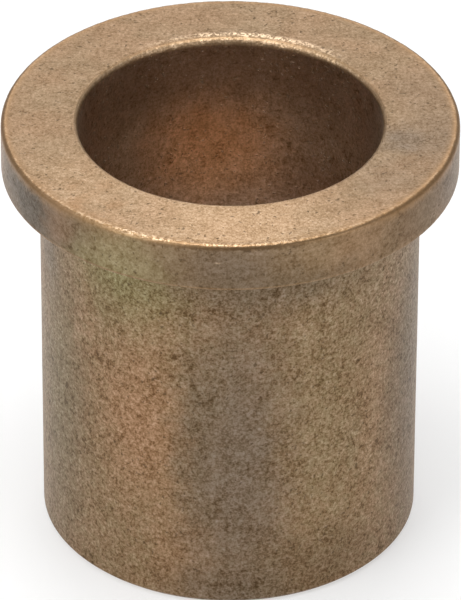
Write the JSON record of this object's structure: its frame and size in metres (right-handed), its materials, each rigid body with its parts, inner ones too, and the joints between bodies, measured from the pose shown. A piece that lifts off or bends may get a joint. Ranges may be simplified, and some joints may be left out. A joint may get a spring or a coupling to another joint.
{
  "type": "flanged sleeve bushing",
  "caption": "Sintered bronze sleeve bushing with a thrust flange at one end and a plain bore right through, pressed into a housing to carry a shaft.",
  "frame": {"origin": "centre of the sleeve's lower end face, on the bore's axis", "axes": "+Z along the bore's axis, from the sleeve's lower end towards the flange"},
  "size_m": [0.0382, 0.0382, 0.0381],
  "materials": {
    "sintered_bronze": "dull tan bronze with a fine dark pore grain, a little smoother on the flange rim"
  },
  "bodies": {
    "root": {"flanged_bushing": "sintered_bronze"}
  },
  "joints": []
}
